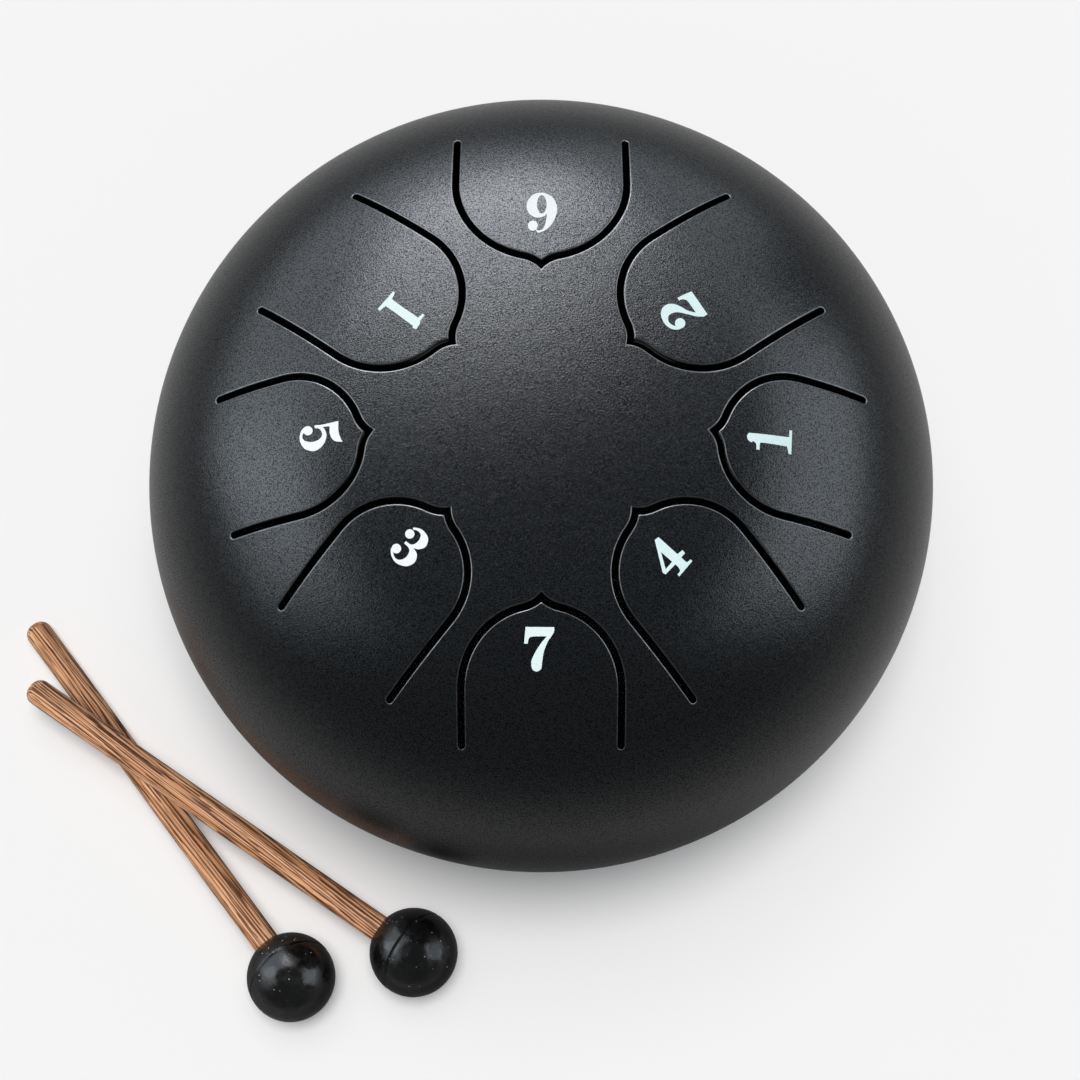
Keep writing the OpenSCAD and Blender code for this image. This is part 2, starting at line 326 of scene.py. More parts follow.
# %% [markdown]
# Rubber, vinyl and steel
#
# The balls are black rubber with a soft gloss and specks of dust. The feet and the grommet are the
# same rubber without gloss. The figures are vinyl films, some white and some pale green. The screws,
# nuts and washers are zinc plated steel.

# %% Rubber
RUBBER = (0.0056, 0.0044, 0.0037)
DUST = (0.42, 0.41, 0.40)
SKIN_MM, SMEAR_MM = 0.9, 2.6
SPECK_MM, SPECK_PATCH_MM = 1.3, 3.2


def rubber(name, roughness, dust):
    finish = Finish(name)
    skin = finish.noise(SKIN_MM, detail=3.0, roughness=0.6)
    smears = finish.noise(SMEAR_MM).above(0.38, 0.62)
    inputs = {"Vector": finish.where, "Scale": 1 / (SPECK_MM * MM)}
    cells = finish.node("ShaderNodeTexVoronoi", {"feature": "F1"}, inputs)
    patches = finish.noise(SPECK_PATCH_MM).above(0.48, 0.55)
    dusty = (1.0 - cells.above(0.07, 0.13)) * patches * dust
    roughness = roughness + 0.3 * (skin - 0.5) + 0.2 * smears + 0.4 * dusty
    normal = finish.bump(skin, depth_mm=0.07, strength=0.5)
    return finish.surface(finish.mix(dusty, RUBBER, DUST), roughness, normal)


ball_rubber = rubber("Ball rubber", roughness=0.17, dust=0.9)
foot_rubber = rubber("Foot rubber", roughness=0.55, dust=0.0)

# %% Vinyl films
VINYL_WEAR_MM, VINYL_WORN = 0.5, 0.93


def vinyl(name, colour):
    finish = Finish(name)
    wear = finish.noise(VINYL_WEAR_MM, detail=3.0, roughness=0.6)
    darker = tuple(VINYL_WORN * share for share in colour)
    worn = finish.mix(wear.above(0.3, 0.7), colour, darker)
    normal = finish.bump(wear, depth_mm=0.02, strength=0.3)
    return finish.surface(worn, 0.65 + 0.1 * (wear - 0.5), normal, shine=0.2)


white_vinyl = vinyl("White vinyl", (0.82, 0.87, 0.88))
pale_vinyl = vinyl("Pale vinyl", (0.73, 0.86, 0.865))
mint_vinyl = vinyl("Mint vinyl", (0.67, 0.85, 0.865))

# %% Plated steel
STEEL_DARK, STEEL_LIGHT = (0.50, 0.51, 0.52), (0.66, 0.67, 0.68)
STEEL_WEAR_MM = 0.8


def plated_steel():
    finish = Finish("Plated steel")
    wear = finish.noise(STEEL_WEAR_MM, detail=4.0, roughness=0.6)
    normal = finish.bump(wear, depth_mm=0.01, strength=0.4)
    return finish.surface(finish.mix(wear, STEEL_DARK, STEEL_LIGHT), 0.28 + 0.12 * wear, normal, metal=1.0)


steel = plated_steel()
for name in ("foot_screws", "foot_nuts"):
    for slot in frame["nodes"][name].material_slots:
        slot.material = steel
print("materials:", ", ".join(material.name for material in bpy.data.materials))

# %% [markdown]
# Meshes made here
#
# Every new mesh comes from a list of points in millimetres and a list of faces. Each face names its
# points in the order that turns left when it is seen from outside. Points that no face uses are left
# out, so that no loose points remain.

# %% A mesh from points and faces
SHARP_ANGLE = 35


def add_object(name, data):
    made = bpy.data.objects.new(name, data)
    scene.collection.objects.link(made)
    return made


def make_piece(name, points, faces, material, sharp_angle=180.0, last=0, last_material=None):
    """A smooth mesh object in which edges that turn more than the given angle stay sharp.

    The last faces, as many as the number given, can have a material of their own.
    """
    used = sorted({corner for face in faces for corner in face})
    new_index = {corner: count for count, corner in enumerate(used)}
    mesh = bpy.data.meshes.new(name)
    mesh.from_pydata([Vector(points[corner]) * MM for corner in used], [],
                     [[new_index[corner] for corner in face] for face in faces])
    mesh.materials.append(material)
    if last:
        mesh.materials.append(last_material)
        for polygon in mesh.polygons[-last:]:
            polygon.material_index = 1
    piece = add_object(name, mesh)
    smooth(piece, sharp_angle)
    return piece


def smooth(piece, sharp_angle):
    piece.data.shade_smooth()
    if sharp_angle < 180:
        piece.data.set_sharp_from_angle(angle=radians(sharp_angle))


def finished(piece, body, node):
    """The piece stands for this solid part, which it hides, and moves with the body."""
    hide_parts(node)
    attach(piece, body)
    print(piece.name, len(piece.data.polygons), "faces")

# %% [markdown]
# The outline of a tongue
#
# Seen from above, a tongue has two straight sides, a round nose, and a small point between two
# hollow flares. A circle gives the nose and two more circles outside the tongue give the flares, and
# each flare circle touches the nose circle. Growing the outline only changes the circles' radii, so
# the same function gives both sides of the cut and all the rings of its rounded edge.

# %% Tongue outlines
SLOT_W = 1.2
FLARE_R = 6.5
TIP_ANGLE = 45.0
SIDE_STEP = 1.4
WELD_MM = 1e-6
TONGUES = [
    # direction, distance of the tip, width, length
    (90, 27, 31.6, 28),
    (37, 20, 28.2, 34),
    (-8, 31, 25.8, 26.8),
    (-49.4, 25.4, 25.8, 30.8),
    (-90, 34.5, 28.2, 24.4),
    (229.4, 25.4, 25.8, 30.8),
    (188, 31, 25.8, 26.8),
    (143, 20, 28.2, 34),
]


def half_outline(half_w, length, grow):
    """One side of a tongue, from its point to the end of its leg, with the tongue along +X."""
    across = FLARE_R * sin(radians(TIP_ANGLE))
    back = FLARE_R * cos(radians(TIP_ANGLE))
    turn = degrees(asin(across / (half_w + FLARE_R)))
    nose = (half_w + FLARE_R) * cos(radians(turn)) - back
    tip_turn = degrees(asin(across / (FLARE_R - grow)))
    flare = arc((-back, across), FLARE_R - grow, -tip_turn, -turn, steps=8)
    round_nose = arc((nose, 0), half_w + grow, 180 - turn, 90, steps=20)
    straight = length - nose
    steps = round(straight / SIDE_STEP)
    leg = [Vector((nose + straight * step / steps, half_w + grow)) for step in range(1, steps + 1)]
    return flare + round_nose[1:] + leg


def slot_loop(half_w, length, grow):
    """A closed loop round the whole cut, at a distance from the cut's middle line."""
    outer = half_outline(half_w, length, grow)
    end = arc((length, half_w), grow, 90, -90, steps=8)[1:-1]
    inner = half_outline(half_w, length, -grow)[::-1]
    one_side = outer + end + inner
    other_side = [Vector((point.x, -point.y)) for point in one_side[1:-1]]
    return one_side + other_side[::-1]


def gathered(loops):
    """The points of all loops in one list, and for each loop the numbers of its points."""
    points, rings = [], []
    for loop in loops:
        rings.append(list(range(len(points), len(points) + len(loop))))
        points.extend(loop)
    return points, rings


def anticlockwise(ring, points):
    """The ring of point numbers, turned round where it runs clockwise."""
    area = sum(points[ring[n - 1]].cross(points[ring[n]]) for n in range(len(ring)))
    return ring if area > 0 else ring[::-1]


def filled(points, rings):
    """A triangulation in which the rings are edges: its points, faces, and where both come from."""
    regions = [anticlockwise(ring, points) for ring in rings]
    spots, _, faces, sources, _, owners = geometry.delaunay_2d_cdt(points, [], regions, 0, WELD_MM)
    return spots, [list(face) for face in faces], sources, [set(owner) for owner in owners]


def placed(points, direction, distance):
    """Points of a tongue's own plan, put where the tongue is on the drum."""
    start = polar(distance, direction)
    along = polar(1, direction)
    across = Vector((-along.y, along.x))
    return [start + along * point.x + across * point.y for point in points]


print("points round each cut:", [len(slot_loop(w / 2, length, SLOT_W / 2)) for _, _, w, length in TONGUES])

# %% [markdown]
# The dome and its cuts
#
# The middle of the upper half is meshed in plan first. Points are spread evenly by a spiral that
# turns by the golden angle, the rings round the cuts are added as fixed edges, and a triangulation
# joins them all. Lifting the plan onto the dome gives the outer face, and the same plan turned over
# gives the inner face. Rows of quads between the rings make the soft edges and the walls of each
# cut. Outside the plan, rings run down the shoulder to the seam and back up inside.

# %% Upper shell
PLAN_R = 63.0
PLAN_STEPS = 240
GRID_MM = 1.6
KEEP_CLEAR = 0.85
EDGE_ROUND = 0.25
EDGE_STEPS = 4
EDGE_BAND = 0.3
GOLDEN_ANGLE = 180 * (3 - sqrt(5))


def spiral_points():
    count = round((PLAN_R / GRID_MM) ** 2 * pi)
    return [polar(PLAN_R * sqrt((number + 0.5) / count), number * GOLDEN_ANGLE)
            for number in range(count)]


def plan_mesh():
    """The plan of the dome between the cuts: its points, the rings' point numbers and the faces."""
    grow = SLOT_W / 2 + EDGE_ROUND + EDGE_BAND
    loops = [circle(PLAN_R, PLAN_STEPS)]
    for direction, tip, width, length in TONGUES:
        loops.append(placed(slot_loop(width / 2, length, grow), direction, tip))
    points, rings = gathered(loops)
    fixed = kdtree.KDTree(len(points))
    for number, point in enumerate(points):
        fixed.insert(point.to_3d(), number)
    fixed.balance()
    points.extend(spot for spot in spiral_points() if fixed.find(spot.to_3d())[2] > KEEP_CLEAR)
    spots, faces, sources, owners = filled(points, rings)
    where = {source: number for number, group in enumerate(sources) for source in group}
    kept = [face for face, owner in zip(faces, owners) if owner == {0}]
    return spots, [[where[number] for number in ring] for ring in rings], kept


def lifted(point, drop=0.0, inset=0.0):
    return (point.x, point.y, WIDEST_Z + dome_height(point.length, inset) - drop)


def strip(first, second):
    """Quads between two closed rings of point numbers."""
    count = len(first)
    return [(first[n], second[n], second[(n + 1) % count], first[(n + 1) % count]) for n in range(count)]


def rim_section():
    """The section from the plan's edge down the outside, round the lower edge and up inside."""
    inner_r = SHOULDER_R - WALL
    start = degrees(acos((PLAN_R - SHOULDER_X) / SHOULDER_R))
    inner_start = degrees(acos((PLAN_R - SHOULDER_X) / inner_r))
    seam = level_turn(SHOULDER_R, SEAM_CHAMFER - SEAM_DROP)
    inner_seam = level_turn(inner_r, -SEAM_DROP)
    outside = arc((SHOULDER_X, 0), SHOULDER_R, start, seam, steps=34)[1:]
    corner = Vector((outside[-1].x - SEAM_CHAMFER, -SEAM_DROP))
    inside = arc((SHOULDER_X, 0), inner_r, inner_seam, inner_start, steps=20)[:-1]
    return outside + [corner] + inside


def upper_shell():
    plan, rings, kept = plan_mesh()
    count = len(plan)
    points = [lifted(point) for point in plan] + [lifted(point, inset=WALL) for point in plan]
    faces = kept + [[number + count for number in reversed(face)] for face in kept]

    def add_ring(row):
        points.extend(row)
        return list(range(len(points) - len(row), len(points)))

    def add_strips(rows):
        for first, second in zip(rows, rows[1:]):
            faces.extend(strip(first, second))

    edges = []
    quarter = [90 * step / EDGE_STEPS for step in range(EDGE_STEPS + 1)]
    for (direction, tip, width, length), ring in zip(TONGUES, rings[1:]):
        rows = [ring]
        for inset, turns in ((0.0, quarter), (WALL, quarter[::-1])):
            for turn in turns:
                out = EDGE_ROUND * (1 - sin(radians(turn)))
                fall = EDGE_ROUND * (1 - cos(radians(turn)))
                loop = placed(slot_loop(width / 2, length, SLOT_W / 2 + out), direction, tip)
                rows.append(add_ring([lifted(point, -fall if inset else fall, inset) for point in loop]))
        edges.extend(face for pair in zip(rows[1:], rows[2:EDGE_STEPS + 2]) for face in strip(*pair))
        add_strips(rows[:2])
        add_strips(rows[EDGE_STEPS + 1:] + [[number + count for number in ring]])

    rows = [rings[0]]
    for radius, height in rim_section():
        rows.append(add_ring([(*spot, WIDEST_Z + height) for spot in circle(radius, PLAN_STEPS)]))
    add_strips(rows + [[number + count for number in rings[0]]])
    return make_piece("upper_shell_skin", points, faces + edges, coat, sharp_angle=50,
                      last=len(edges), last_material=edge_coat)


upper = upper_shell()
finished(upper, "drum", "upper_shell")

# %% [markdown]
# Turned pieces
#
# The lower half, the grommet, the feet, the washers, the balls and the sticks are all round, so each
# is a section that is swept round an axis. One network of Geometry Nodes does this for all of them.
# It lays out a grid of points, bends every column of the grid to the section, turns it to its angle
# and joins the last column to the first. Then it puts one or more copies of the turned piece on a
# circle, which places each foot and makes the ring of three washers.

# %% The lathe
LATHE_WELD_MM = 0.001


def lathe_network():
    tree = bpy.data.node_groups.new("Lathe", "GeometryNodeTree")
    sockets = (("Section", "Geometry"), ("Steps", "Int"), ("Copies", "Int"), ("Ring radius", "Float"),
               ("First direction", "Float"), ("Material", "Material"))
    for name, kind in sockets:
        tree.interface.new_socket(name, in_out="INPUT", socket_type="NodeSocket" + kind)
    tree.interface.new_socket("Geometry", in_out="OUTPUT", socket_type="NodeSocketGeometry")
    net = Network(tree)

    def spin(place, angle):
        inputs = {"Vector": place, "Angle": angle}
        return net.node("ShaderNodeVectorRotate", {"rotation_type": "Z_AXIS"}, inputs)

    given = {name: net.node("NodeGroupInput", output=name) for name, _ in sockets}
    index = net.node("GeometryNodeInputIndex")
    position = net.node("GeometryNodeInputPosition")
    count = net.node("GeometryNodeAttributeDomainSize", {"component": "MESH"}, {0: given["Section"]})
    columns = given["Steps"] + 1
    grid = net.node("GeometryNodeMeshGrid", {}, {"Vertices X": columns, "Vertices Y": count})
    row = index % count
    column = (index - row) / count
    sample = {"data_type": "FLOAT_VECTOR", "domain": "POINT"}
    inputs = {"Geometry": given["Section"], "Value": position, "Index": row}
    spot = net.node("GeometryNodeSampleIndex", sample, inputs)
    turned = spin(spot, column / given["Steps"] * tau)
    bent = net.node("GeometryNodeSetPosition", {}, {"Geometry": grid, "Position": turned})
    weld = LATHE_WELD_MM * MM
    closed = net.node("GeometryNodeMergeByDistance", {}, {"Geometry": bent, "Distance": weld})
    start = net.node("ShaderNodeCombineXYZ", {}, {"X": given["Ring radius"]})
    around = spin(start, given["First direction"] + index / given["Copies"] * tau)
    spots = net.node("GeometryNodePoints", {}, {"Count": given["Copies"], "Position": around})
    copies = net.node("GeometryNodeInstanceOnPoints", {}, {"Points": spots, "Instance": closed})
    real = net.node("GeometryNodeRealizeInstances", {}, {"Geometry": copies})
    painted = net.node("GeometryNodeSetMaterial", {}, {"Geometry": real, "Material": given["Material"]})
    net.node("NodeGroupOutput", {}, {"Geometry": painted})
    return tree


LATHE = lathe_network()
print("lathe:", len(LATHE.nodes), "nodes")


def settle(piece):
    """Makes what the piece's modifiers give into its own mesh."""
    evaluated = piece.evaluated_get(bpy.context.evaluated_depsgraph_get())
    piece.data = bpy.data.meshes.new_from_object(evaluated)
    piece.modifiers.clear()
    smooth(piece, SHARP_ANGLE)


def turned_piece(name, section, material, steps=96, copies=1, ring_r=0.0, first=0.0):
    """A section in millimetres, radius first, that runs up the outside and down the inside."""
    mesh = bpy.data.meshes.new(name)
    mesh.from_pydata([(spot[0] * MM, 0, spot[1] * MM) for spot in section], [], [])
    piece = add_object(name, mesh)
    modifier = piece.modifiers.new("Lathe", "NODES")
    modifier.node_group = LATHE
    values = {"Steps": steps, "Copies": copies, "Ring radius": ring_r * MM,
              "First direction": radians(first), "Material": material}
    for item in LATHE.interface.items_tree:
        if item.name in values:
            modifier[item.identifier] = values[item.name]
    settle(piece)
    return piece


def rod(radius, low, high):
    return [(0, low), (radius, low), (radius, high), (0, high)]


def cut(piece, cutter):
    """Takes the cutter's solid out of the piece and removes the cutter."""
    modifier = piece.modifiers.new("Cut", "BOOLEAN")
    modifier.object = cutter
    modifier.solver = "EXACT"
    settle(piece)
    bpy.data.objects.remove(cutter)

# %% [markdown]
# The lower half
#
# The bowl's flat base has a sound hole. At the seam its sheet is set inwards and rises as a lip
# inside the upper half, which hides the joint and holds the two halves in line. This part is
# hidden in the photo, so its shape follows the way that such shells are made.

# %% Lower shell
FOOT_DIRECTIONS = (-90, 30, 150)
SCREW_HOLE_R = 1.7
DRILL_PAST = 1.0
GROMMET_LIP = 2.4
SOUND_HOLE_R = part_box("sound_hole_grommet")[1].x / MM - GROMMET_LIP
FOOT_RING_R = (BASE_FLAT_R + SOUND_HOLE_R + GROMMET_LIP) / 2


def lower_section():
    shoulder = (SHOULDER_X, 0)
    heel = (BASE_FLAT_R, HEEL_Z)
    lip_out = SHOULDER_R - WALL - LIP_GAP
    lip_in = lip_out - WALL
    inner = SHOULDER_R - WALL
    chamfer_turn = level_turn(SHOULDER_R, -SEAM_DROP - SEAM_CHAMFER)
    outside = [Vector((SOUND_HOLE_R, -BOWL_DEPTH))]
    outside += arc(heel, HEEL_R, -90, -HEEL_TURN, steps=16)
    outside += arc(shoulder, SHOULDER_R, -HEEL_TURN, chamfer_turn, steps=16)[1:]
    outside.append(Vector((outside[-1].x - SEAM_CHAMFER, -SEAM_DROP)))
    lip_top = LIP_H - SEAM_DROP
    joggle = -SEAM_DROP - JOGGLE_H
    lip = arc(shoulder, lip_out, level_turn(lip_out, -SEAM_DROP), level_turn(lip_out, lip_top), steps=5)
    lip += arc(shoulder, lip_in, level_turn(lip_in, lip_top), level_turn(lip_in, joggle), steps=6)
    inside = arc(shoulder, inner, level_turn(inner, joggle), -HEEL_TURN, steps=12)
    inside += arc(heel, HEEL_R - WALL, -HEEL_TURN, -90, steps=12)[1:]
    inside.append(Vector((SOUND_HOLE_R, WALL - BOWL_DEPTH)))
    section = outside + lip + inside
    return [(spot.x, spot.y + WIDEST_Z) for spot in section + section[:1]]


lower = turned_piece("lower_shell_skin", lower_section(), coat, steps=240)
drill = rod(SCREW_HOLE_R, FOOT_H - DRILL_PAST, FOOT_H + WALL + DRILL_PAST)
cut(lower, turned_piece("screw_holes", drill, coat, 48, 3, FOOT_RING_R, FOOT_DIRECTIONS[0]))
finished(lower, "drum", "lower_shell")

# %% [markdown]
# The grommet, the feet and the washers
#
# The grommet is a ring of rubber that is pushed through the sound hole until its two lips snap over
# the steel. The feet are tapered, and each has a pocket that keeps the screw's head off the table.

# %% Grommet
GROMMET_WALL = 2.2
GROMMET_FIT = 0.05
GROMMET_MOUTH = 0.6
LIP_T = 1.6


def grommet_section():
    middle = FOOT_H + WALL / 2
    tube_r = SOUND_HOLE_R - GROMMET_FIT
    bore_r = tube_r - GROMMET_WALL
    lip_r = SOUND_HOLE_R + GROMMET_LIP - LIP_T / 2
    near = WALL / 2 + GROMMET_FIT
    far = near + LIP_T
    mouth_x = bore_r + GROMMET_MOUTH
    mouth_z = far - GROMMET_MOUTH
    section = arc((mouth_x, middle - mouth_z), GROMMET_MOUTH, 180, 270, steps=4)
    section += arc((lip_r, middle - (near + far) / 2), LIP_T / 2, -90, 90, steps=10)
    section += [(tube_r, middle - near), (tube_r, middle + near)]
    section += arc((lip_r, middle + (near + far) / 2), LIP_T / 2, -90, 90, steps=10)
    section += arc((mouth_x, middle + mouth_z), GROMMET_MOUTH, 90, 180, steps=4)
    return section + section[:1]


grommet = turned_piece("grommet", grommet_section(), foot_rubber, steps=128)
finished(grommet, "drum", "sound_hole_grommet")

# %% Feet and washers
FOOT_R = 8.5
FOOT_TIP_R = 7.0
FOOT_ROUND = 1.0
FOOT_TOP_ROUND = 0.3
FOOT_WEB = 2.2
POCKET_R = 3.8
POCKET_ROUND = 0.4
WASHER_R = 3.5
WASHER_T = 0.5
WASHER_ROUND = 0.12
ROUND_STEPS = 3


def foot_section():
    corner = Vector((FOOT_TIP_R - FOOT_ROUND, FOOT_ROUND))
    slope = Vector((FOOT_R, FOOT_H)) - corner
    lean = degrees(acos(FOOT_ROUND / slope.length) - atan2(slope.y, slope.x))
    ceiling = FOOT_H - FOOT_WEB
    section = arc((POCKET_R + POCKET_ROUND, POCKET_ROUND), POCKET_ROUND, 180, 270, ROUND_STEPS)
    section += arc(corner, FOOT_ROUND, -90, -lean, 2 * ROUND_STEPS)
    top_corner = (FOOT_R - FOOT_TOP_ROUND, FOOT_H - FOOT_TOP_ROUND)
    section += arc(top_corner, FOOT_TOP_ROUND, -lean, 90, ROUND_STEPS)
    section += [(SCREW_HOLE_R, FOOT_H), (SCREW_HOLE_R, ceiling), (POCKET_R, ceiling)]
    return section + section[:1]


def washer_section():
    """A rectangle whose corners are softened by short curves."""
    high = FOOT_H - FOOT_WEB
    low = high - WASHER_T
    section = []
    for x, y, turn_to in ((SCREW_HOLE_R, low, 90), (WASHER_R, low, 180), (WASHER_R, high, 270),
                          (SCREW_HOLE_R, high, 0)):
        back, ahead = polar(WASHER_ROUND, turn_to), polar(WASHER_ROUND, turn_to - 90)
        for step in range(ROUND_STEPS + 1):
            share = step / ROUND_STEPS
            section.append(Vector((x, y)) + back * (1 - share) ** 2 + ahead * share ** 2)
    return section + section[:1]


feet_nodes = ("foot_front", "foot_back_right", "foot_back_left")
for node, direction in zip(feet_nodes, FOOT_DIRECTIONS):
    foot = turned_piece("rubber_" + node, foot_section(), foot_rubber, 72, 1, FOOT_RING_R, direction)
    finished(foot, "drum", node)

washers = turned_piece("washers", washer_section(), steel, 64, 3, FOOT_RING_R, FOOT_DIRECTIONS[0])
finished(washers, "drum", "foot_washers")

# %% [markdown]
# The mallets
#
# Each mallet is a straight wooden stick pushed into a rubber ball. A ball is moulded in two halves,
# which leaves a fine line round it, and this line is tilted against the stick. The lower stick rests
# on the table with its far end, and the upper one lies across it.

# %% Mallet frames
BALL_R = 9.0
STICK_R = 2.75
STICK_ROUND = 2.2
SOCKET_DEPTH = 11.0
SOCKET_FIT = 0.05
SOCKET_FLOOR = 0.3
CROSS_GAP = 0.2


def rotation(turn, axis):
    return Matrix.Rotation(radians(turn), 4, axis)


@dataclass
class Mallet:
    """A mallet: its length, its ball's place seen from the drum, and how it is turned."""
    name: str
    length: float
    bearing: float
    ball_gap: float
    heading: float
    mould_tilt: float
    grain_slant: float
    pitch: float = 0.0

    @property
    def ball(self):
        return polar(DRUM_D / 2 + self.ball_gap + BALL_R, self.bearing)

    def matrix(self):
        place = Matrix.Translation(Vector((*self.ball, BALL_R)) * MM)
        return place @ rotation(self.heading, "Z") @ Matrix.Rotation(self.pitch, 4, "Y")


def run_to_crossing(first, second):
    """How far from the first ball the two sticks cross, seen from above."""
    offset = second.ball - first.ball
    way, other = polar(1, first.heading), polar(1, second.heading)
    return (offset.x * other.y - offset.y * other.x) / (way.x * other.y - way.y * other.x)


lower_mallet = Mallet("lower_mallet", length=94.7, bearing=-118, ball_gap=22, heading=128,
                      mould_tilt=31, grain_slant=1.5)
upper_mallet = Mallet("upper_mallet", length=97.6, bearing=-106, ball_gap=8, heading=146,
                      mould_tilt=22, grain_slant=-2.5)
reach = lower_mallet.length - STICK_ROUND
lower_mallet.pitch = asin(BALL_R / hypot(reach, STICK_R)) - atan(STICK_R / reach)
lower_run = run_to_crossing(lower_mallet, upper_mallet)
upper_run = run_to_crossing(upper_mallet, lower_mallet)
rise = (2 * STICK_R + CROSS_GAP) / cos(lower_mallet.pitch) - lower_run * tan(lower_mallet.pitch)
upper_mallet.pitch = -atan(rise / upper_run)
print(f"the sticks cross {lower_run:.1f} mm from the lower ball and {upper_run:.1f} mm from the upper one")

# %% [markdown]
# The wood
#
# The sticks are a reddish brown wood with straight grain. Each year's growth ends in a thin dark line,
# and the lines are about 0.7 mm apart. They are planes through the stick, bent by a broad noise that
# is stretched along it, so that they swing, part and meet. Finer noise breaks them up and adds short
# pores, which are also pressed in a little.

# %% Wood
WOOD_LIGHT = (0.74, 0.41, 0.23)
WOOD_WARM = (0.53, 0.25, 0.12)
WOOD_LINE = (0.050, 0.013, 0.005)
WOOD_PORE = (0.020, 0.006, 0.003)
YEAR_MM = 0.72
SWING_MM, SWING_YEARS = 1.6, 4.0
WANDER_MM, WANDER_YEARS = 0.35, 0.9
BAND_MM = 0.9
FIBRE_MM = 0.16
PORE_MM, PORE_DEPTH = 0.20, 0.07


def wood(mallet):
    finish = Finish("Wood of the " + mallet.name.replace("_", " "))
    grain_lies = mallet.matrix() @ rotation(mallet.grain_slant, "Z")
    lies = {"Location": grain_lies.to_translation(), "Rotation": grain_lies.to_euler()}

    def along(stretch):
        """Places in the stick's own frame, drawn out along its grain."""
        inputs = {"Vector": finish.where, **lies, "Scale": (stretch, 1, 1)}
        return finish.node("ShaderNodeMapping", {"vector_type": "TEXTURE"}, inputs)

    across = finish.node("ShaderNodeSeparateXYZ", {}, {"Vector": along(1)}, output="Y")
    swing = finish.noise(SWING_MM, detail=1.0, where=along(30))
    wander = finish.noise(WANDER_MM, detail=1.0, where=along(45))
    years = across / (YEAR_MM * MM) + SWING_YEARS * swing + WANDER_YEARS * wander
    ending = years.maths("FRACT", years)
    fibres = finish.noise(FIBRE_MM, where=along(50))
    lines = ending.above(0.34, 0.70) * (1.0 - ending.above(0.95, 1.0)) * fibres.above(0.22, 0.46)
    pores = finish.noise(PORE_MM, detail=1.0, roughness=0.6, where=along(30)).above(0.62, 0.67)
    bands = finish.noise(BAND_MM, where=along(45)).above(0.36, 0.64)
    body = finish.mix(bands, WOOD_LIGHT, WOOD_WARM)
    streaked = finish.mix(0.9 * lines, body, WOOD_LINE)
    height = 1.0 - pores - 0.4 * lines - 0.3 * fibres
    colour = finish.mix(pores * 0.8, streaked, WOOD_PORE)
    normal = finish.bump(height, PORE_DEPTH, strength=0.5)
    return finish.surface(colour, 0.55 + 0.15 * pores, normal, shine=0.2)


print(f"wood: a growth line every {YEAR_MM} mm")

# %% Sticks and balls
STICK_CHAMFER = 0.3
GROOVE_DEPTH = 0.2
GROOVE_HALF_W = 0.22
GROOVE_REACH = 4.0
GROOVE_STEPS = 8
BALL_STEPS = 24


def stick_section(length):
    start = BALL_R - SOCKET_DEPTH
    section = [(0, start), (STICK_R - STICK_CHAMFER, start), (STICK_R, start + STICK_CHAMFER)]
    section += arc((STICK_R - STICK_ROUND, length - STICK_ROUND), STICK_ROUND, 0, 90, steps=10)
    return section + [(0, length)]


def ball_section():
    """A half circle with a fine groove across its middle, the mould line."""
    edge = degrees(GROOVE_REACH * GROOVE_HALF_W / BALL_R)
    groove = [edge * (step / GROOVE_STEPS - 1) for step in range(2 * GROOVE_STEPS + 1)]
    side = [edge + (90 - edge) * step / BALL_STEPS for step in range(1, BALL_STEPS + 1)]
    section = []
    for angle in [-angle for angle in side[::-1]] + groove + side:
        half_widths = radians(angle) * BALL_R / GROOVE_HALF_W
        section.append(polar(BALL_R - GROOVE_DEPTH * exp(-half_widths ** 2), angle))
    section[0].x = section[-1].x = 0
    return section


for mallet in (lower_mallet, upper_mallet):
    to_stick = mallet.matrix() @ rotation(90, "Y")
    stick = turned_piece(mallet.name + "_wood", stick_section(mallet.length), wood(mallet), 48)
    stick.data.transform(to_stick)
    finished(stick, mallet.name, mallet.name + "_stick")
    ball = turned_piece(mallet.name + "_rubber", ball_section(), ball_rubber, 96)
    ball.data.transform(mallet.matrix() @ rotation(90 + mallet.mould_tilt, "Y"))
    socket_rod = rod(STICK_R + SOCKET_FIT, BALL_R - SOCKET_DEPTH - SOCKET_FLOOR, 2 * BALL_R)
    socket = turned_piece("socket", socket_rod, ball_rubber, steps=64)
    socket.data.transform(to_stick)
    cut(ball, socket)
    finished(ball, mallet.name, mallet.name + "_ball")

# %% [markdown]
# The figures
#
# Each tongue carries a vinyl figure that names its note. The figures have thick and thin strokes
# with small feet and round ends. Each outline below is given by a few points, in thousandths of
# the figure's size: across from its middle line, and up from its foot. Most points are joined by a
# smooth curve, and the ones in corner() stay sharp. Round ends are circles laid over the outline.

# %% Outlines of the figures
def corner(across, up):
    return (across, up, True)


SIX = [(90, 1000), (-123, 915), (-296, 722), (-388, 457), (-347, 233), (-215, 70), (0, -5), (213, 40),
       (355, 192), (390, 355), (335, 518), (192, 616), (50, 630), (-62, 590), corner(-127, 535),
       (-113, 660), (-62, 844), (10, 925), (90, 942), corner(162, 920)]
SIX_EYE = [(3 + 122 * spot.x, 299 + 235 * spot.y) for spot in circle(1, 12)]
TWO = [(-317, 742), (-245, 895), (-93, 990), (90, 1010), (274, 956), (380, 824), (376, 671), (284, 539),
       (152, 447), (-11, 366), (-113, 284), corner(-184, 209), (152, 223), (233, 254), (284, 315),
       corner(298, 396), corner(376, 396), (366, 254), corner(325, 5), corner(-382, -11), corner(-378, 100),
       (-256, 264), (-72, 437), (50, 559), (121, 681), (127, 803), (70, 875), (-11, 901), (-93, 885),
       (-164, 844), corner(-199, 808)]
